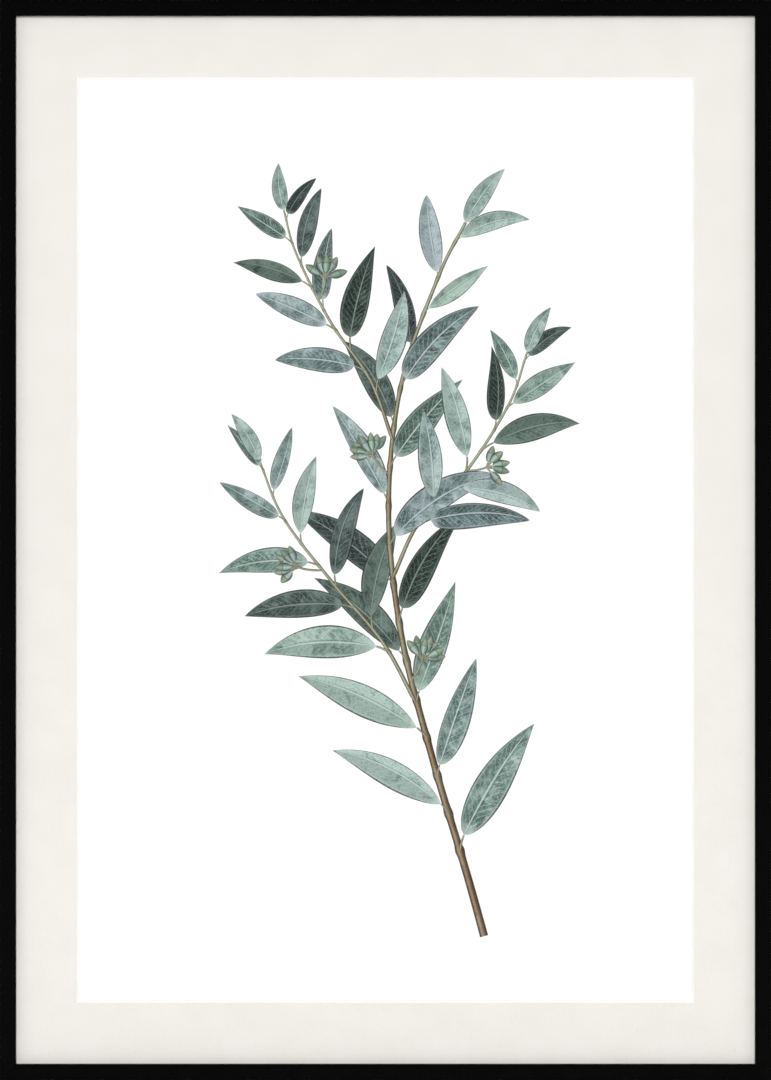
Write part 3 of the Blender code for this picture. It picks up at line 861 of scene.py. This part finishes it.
def draw_buds(rng, place, facing, side):
    """A cluster of buds that fan out, each on its stalk, from the end of one stem."""
    stem_looks = {"tone": BUD_STEM_TONE}
    stem_facing, stem_length = facing + side * BUD_STEM_OPENING, rng.uniform(*BUD_STEM_LENGTH)
    stem = curved_from(place, stem_facing, stem_length, -side * BUD_STEM_BEND, STALK_POINTS)
    marks = [Mark("stalk", stem, stalk_width(*BUD_STEM_WIDTHS), stem_looks)]
    middle = facing + side * CLUSTER_OPENING
    count = rng.choice(BUDS_IN_CLUSTER)
    order = list(range(count))
    rng.shuffle(order)
    for number in order:
        fan = (number - (count - 1) / 2) * CLUSTER_SPREAD / count
        angle = middle + fan + rng.uniform(*BUD_LEAN)
        stalk_length, stalk_bend = rng.uniform(*BUD_STALK_LENGTH), rng.uniform(*BUD_STALK_BEND)
        stalk = curved_from(stem[-1], angle, stalk_length, stalk_bend, BUD_STALK_POINTS)
        marks.append(Mark("stalk", stalk, stalk_width(*BUD_STALK_WIDTHS), stem_looks))
        bud_length, bud_bend = rng.uniform(*BUD_LENGTH), rng.uniform(*BUD_BEND)
        bud = curved_from(stalk[-1], angle, bud_length, bud_bend, BUD_POINTS)
        looks = {"tone": rng.random(), "warmth": rng.random()}
        marks.append(Mark("bud", bud, egg(rng.uniform(*BUD_WIDTH)), looks))
    return marks


def draw_spray():
    """The marks of the spray in the order in which they cover each other."""
    rng = random.Random(SPRAY_SEED)
    back, twigs, front, buds = [], [], [], []
    for knots, (foot, tip), leafy, count, (length, width), side in TWIGS:
        joints = [between(leafy, number / (count - 1)) for number in range(count)]
        looks = {"tone": twig_tone(foot)}
        rounding = 0 if knots is MAIN_TWIG else SIDE_TWIG_ROUNDING
        half_width = taper(foot, tip, joints, rounding)
        twigs.append(Mark("twig", path_through(knots), half_width, looks))
        for t in joints:
            side = -side
            place, facing = along_twig(knots, t)
            stalk, blade = draw_leaf(rng, place, facing, side, t, length, width)
            twigs.append(stalk)
            if rng.random() < LEAVES_BEHIND:
                back.append(blade._replace(kind="back_leaf"))
            else:
                front.append(blade)
        place, facing = along_twig(knots, 1)
        last_leaf = curved_from(place, facing, length / 2, side * LAST_LEAF_BEND, LEAF_POINTS)
        front.append(Mark("leaf", last_leaf, lance(width / 2), LAST_LEAF_LOOKS))
    for twig, t, side in BUD_CLUSTERS:
        place, facing = along_twig(TWIGS[twig][0], t)
        buds += draw_buds(rng, place, facing, side)
    return back + twigs + front + buds


def footprint(mark):
    """Points along a mark close enough together to find what it crosses, and its width at each."""
    length = np.linalg.norm(np.diff(mark.path, axis=0), axis=1).sum()
    count = max(FEWEST_PLACES, round(length / CROSSING_STEP))
    places, _ = evenly(mark.path, count)
    return places, np.array([mark.half_width(t) for t in np.linspace(0, 1, count)])


def ink_layers(marks):
    """For each mark, its layer: one over the highest mark that it crosses."""
    footprints, layers = [], []
    for mark in marks:
        places, widths = footprint(mark)
        crossed = [0]
        for (others, other_widths), layer in zip(footprints, layers):
            apart = np.linalg.norm(places[:, None] - others[None], axis=2)
            if (apart < widths[:, None] + other_widths[None] + CROSSING_STEP).any():
                crossed.append(layer)
        footprints.append((places, widths))
        layers.append(1 + max(crossed))
    return layers


def blank_grid(columns):
    """A flat grid from -1 to 1, from which the marks of one kind are shaped."""
    bpy.ops.object.select_all(action="DESELECT")
    bpy.ops.mesh.primitive_grid_add(x_subdivisions=columns, y_subdivisions=MARK_ROWS, size=2)
    return bpy.context.object


def shaped_mark(mark, layer, blank):
    """One mark: the blank grid laid along the mark's path, as wide as the mark is at each place."""
    columns = MARK_COLUMNS[mark.kind]
    piece = copy_of(blank)
    grid = np.empty(len(piece.data.vertices) * 3)
    piece.data.vertices.foreach_get("co", grid)
    grid_x, grid_y, _ = grid.reshape(-1, 3).T
    along = (grid_x + 1) / 2
    column = np.rint(along * columns).astype(int)
    places, heading = evenly(mark.path, columns + 1)
    widths = np.array([mark.half_width(t) for t in np.linspace(0, 1, columns + 1)])
    leftward = np.stack([-heading[:, 1], heading[:, 0]], axis=1)[column]
    reach = widths[column] * grid_y * np.where(grid_y > 0, *mark.sides)
    flat = (places[column] + leftward * reach[:, None]) * MM
    front = SHEET_FRONT - (INK_THICKNESS + layer * LAYER_STEP) * MM
    shaped = [MIDDLE.x + flat[:, 0], np.full(len(flat), front), MIDDLE.z + flat[:, 1]]
    piece.data.vertices.foreach_set("co", np.stack(shaped, axis=1).ravel())
    for name, value in mark.looks.items():
        values = value(along) if callable(value) else np.full(len(along), value)
        piece.data.attributes.new(name, "FLOAT", "POINT").data.foreach_set("value", values)
    return piece


def printed_piece(name, marks, layers, material):
    """All the marks of one ink as one thin piece on the sheet."""
    blanks = {kind: blank_grid(MARK_COLUMNS[kind]) for kind in sorted({mark.kind for mark in marks})}
    pieces = [shaped_mark(mark, layer, blanks[mark.kind]) for mark, layer in zip(marks, layers)]
    for blank in blanks.values():
        bpy.data.objects.remove(blank, do_unlink=True)
    only(pieces[0])
    for piece in pieces:
        piece.select_set(True)
    bpy.ops.object.join()
    ink = bpy.context.object
    close_up(ink)
    apply_modifier(ink, "SOLIDIFY", thickness=INK_THICKNESS * MM, offset=-1)
    finish_piece(ink, name, material, "print_paper")


def make_print():
    """The spray, printed in four inks."""
    marks = draw_spray()
    layers = ink_layers(marks)
    dark = sprayed_leaf_ink("sprayed_ink_dark", "#73827e", "#3d4a47", "#1f2827", "#97a39d", "#141a19")
    sage = sprayed_leaf_ink("sprayed_ink_sage", "#bccbc9", "#6b837f", "#3a4e49", "#dae4e1", "#26322e")
    inks = (
        ("printed_leaves_back", {"back_leaf"}, dark),
        ("printed_leaves_front", {"leaf"}, sage),
        ("printed_twigs", {"twig", "stalk"}, sprayed_twig_ink()),
        ("printed_buds", {"bud"}, sprayed_bud_ink()),
    )
    for name, kinds, material in inks:
        chosen = [(mark, layer) for mark, layer in zip(marks, layers) if mark.kind in kinds]
        printed_piece(name, *zip(*chosen), material)


def finish_packed_nodes():
    """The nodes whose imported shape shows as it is: they keep it, and get their own finish."""
    own_finish = {
        "glazing": cast_clear_acrylic(),
        "print_sheet": uncoated_art_paper(),
        "backing_board": pressed_hardboard(),
    }
    for node, material in own_finish.items():
        for material_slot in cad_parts[node].material_slots:
            material_slot.material = material


def put_up_light(name, kind, heading, **settings):
    """A light that shines along heading, and that the camera never sees."""
    lamp = bpy.data.lights.new(name, kind)
    for setting, value in settings.items():
        setattr(lamp, setting, value)
    light = bpy.data.objects.new(name, lamp)
    bpy.context.scene.collection.objects.link(light)
    light.rotation_euler = Vector(heading).to_track_quat("-Z", "Y").to_euler()
    light.visible_camera = False
    return light


def make_studio():
    """A pale floor that the frame stands on, lights before and behind it, and a pale room."""
    bpy.ops.object.select_all(action="DESELECT")
    bpy.ops.mesh.primitive_plane_add(size=FLOOR_SIZE, location=(0, 0, LOW.z))
    floor = bpy.context.object
    floor.name = "studio_floor"
    floor.data.materials.append(rolled_backdrop_board())
    for name, heading, strength, width in FAR_LIGHTS:
        light = put_up_light(name, "SUN", heading, energy=strength, angle=math.radians(width))
        light.visible_glossy = False
    for name, place, size, power in SOFTBOXES:
        light = put_up_light(name, "AREA", MIDDLE - Vector(place), size=size, energy=power)
        light.location = place
    world = bpy.data.worlds.new("pale_room")
    bpy.context.scene.world = world
    world.use_nodes = True
    tree = world.node_tree
    tree.nodes.clear()
    lit = put(tree, "Background", {"Color": colour("#ffffff"), "Strength": ROOM_LIGHT})
    seen = put(tree, "Background", {"Color": colour("#d3d2cf"), "Strength": 1})
    ray = put(tree, "LightPath", {}, "Is Camera Ray")
    put(tree, "OutputWorld", {0: put(tree, "MixShader", {0: ray, 1: lit, 2: seen})})
    bpy.context.scene.view_settings.view_transform = "Standard"


def make_camera():
    """Square on, as in the photo, so far back that the frame's front just fills the picture."""
    lens = bpy.data.cameras.new("camera")
    lens.lens = LENS
    lens.sensor_fit = "VERTICAL"
    lens.sensor_height = SENSOR
    lens.clip_end = VIEW_DEPTH
    camera = bpy.data.objects.new("camera", lens)
    bpy.context.scene.collection.objects.link(camera)
    shown_height = (FRAME_WIDTH - 2 * CROP) * PHOTO_HEIGHT / PHOTO_WIDTH
    distance = shown_height * LENS / SENSOR
    camera.location = (MIDDLE.x, LOW.y - distance, MIDDLE.z)
    camera.rotation_euler = (math.radians(90), 0, 0)
    bpy.context.scene.camera = camera


make_camera()
make_studio()
make_rails()
make_mat()
make_print()
make_metalwork()
finish_packed_nodes()
